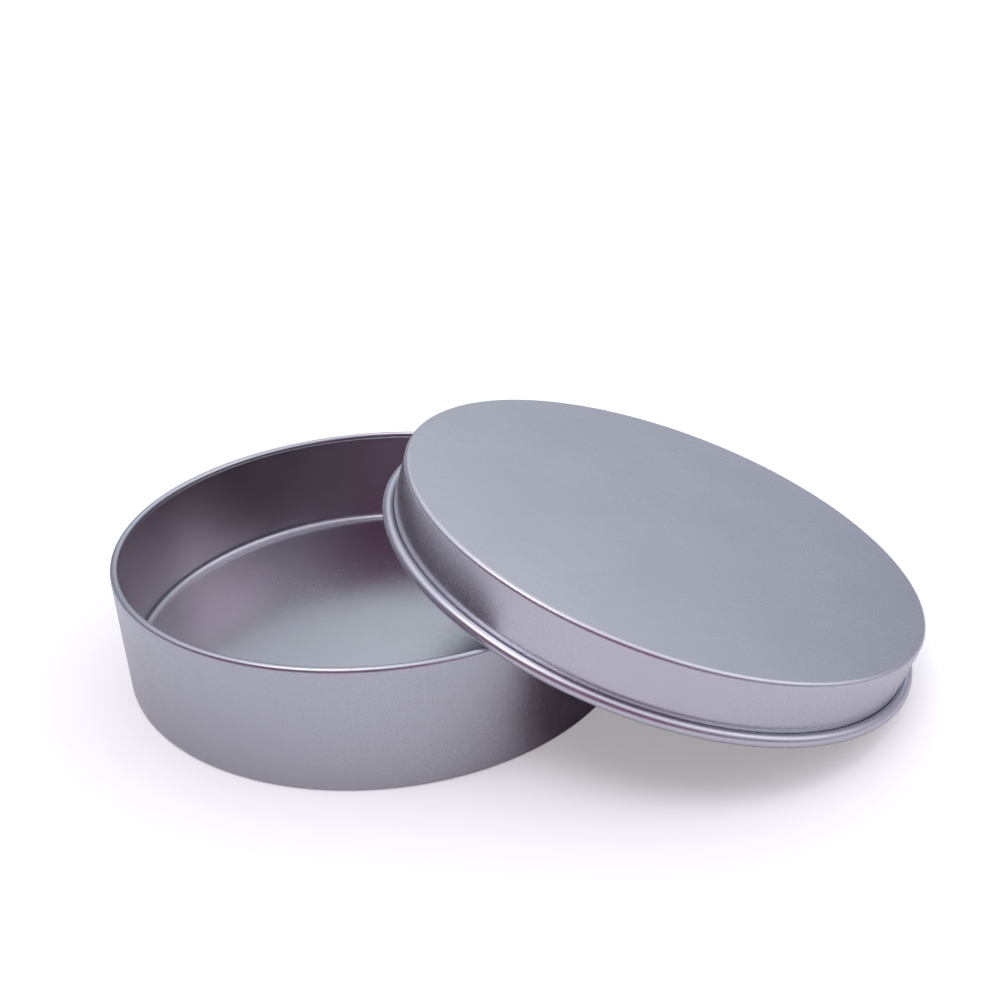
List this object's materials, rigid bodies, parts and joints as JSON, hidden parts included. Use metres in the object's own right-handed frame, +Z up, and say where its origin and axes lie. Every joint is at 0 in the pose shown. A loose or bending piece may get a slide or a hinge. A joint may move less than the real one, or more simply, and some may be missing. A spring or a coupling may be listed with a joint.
{
  "type": "candle tin",
  "caption": "Shallow round slip-lid tin of thin satin metal, open, with its lid leaning on the cup's rim; holds a poured candle or small goods.",
  "frame": {"origin": "centre of the narrow foot under the cup, on the surface the tin stands on", "axes": "+Z up along the cup's axis; +X from the cup's axis towards the lid, which leans down that way"},
  "size_m": [0.1541, 0.1054, 0.0406],
  "materials": {
    "base_metal": "satin",
    "lid_metal": "satin"
  },
  "bodies": {
    "tin_base": {"tin_base": "base_metal"},
    "lid": {"lid": "lid_metal"}
  },
  "joints": [
    {"name": "lid_lift", "type": "slide", "parent": "tin_base", "child": "lid", "axis": [0, 0, 1], "range_m": [0, 0.06]}
  ]
}
